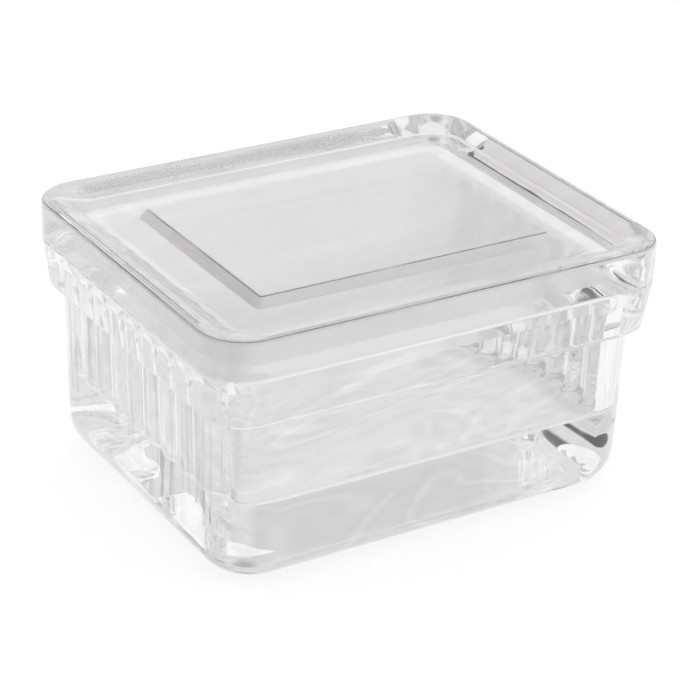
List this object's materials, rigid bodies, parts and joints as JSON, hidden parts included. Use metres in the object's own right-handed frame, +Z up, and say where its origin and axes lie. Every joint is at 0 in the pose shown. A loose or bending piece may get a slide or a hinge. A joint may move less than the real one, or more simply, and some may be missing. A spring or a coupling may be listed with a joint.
{
  "type": "slide staining jar",
  "caption": "Clear pressed-glass staining dish for microscope slides: oblong tray with a collar and ribbed, grooved end walls, closed by a loose cover with a raised border and centre panel.",
  "frame": {"origin": "middle of the dish's underside, on the surface it stands on", "axes": "+X along the slides and the dish's longer side, +Y across the slides, +Z up through the cover"},
  "size_m": [0.092, 0.075, 0.0503],
  "materials": {
    "clear_glass": "clear pressed soda-lime glass, fire-polished, faintly grey"
  },
  "bodies": {
    "root": {"dish": "clear_glass", "cover": "clear_glass"}
  },
  "joints": []
}
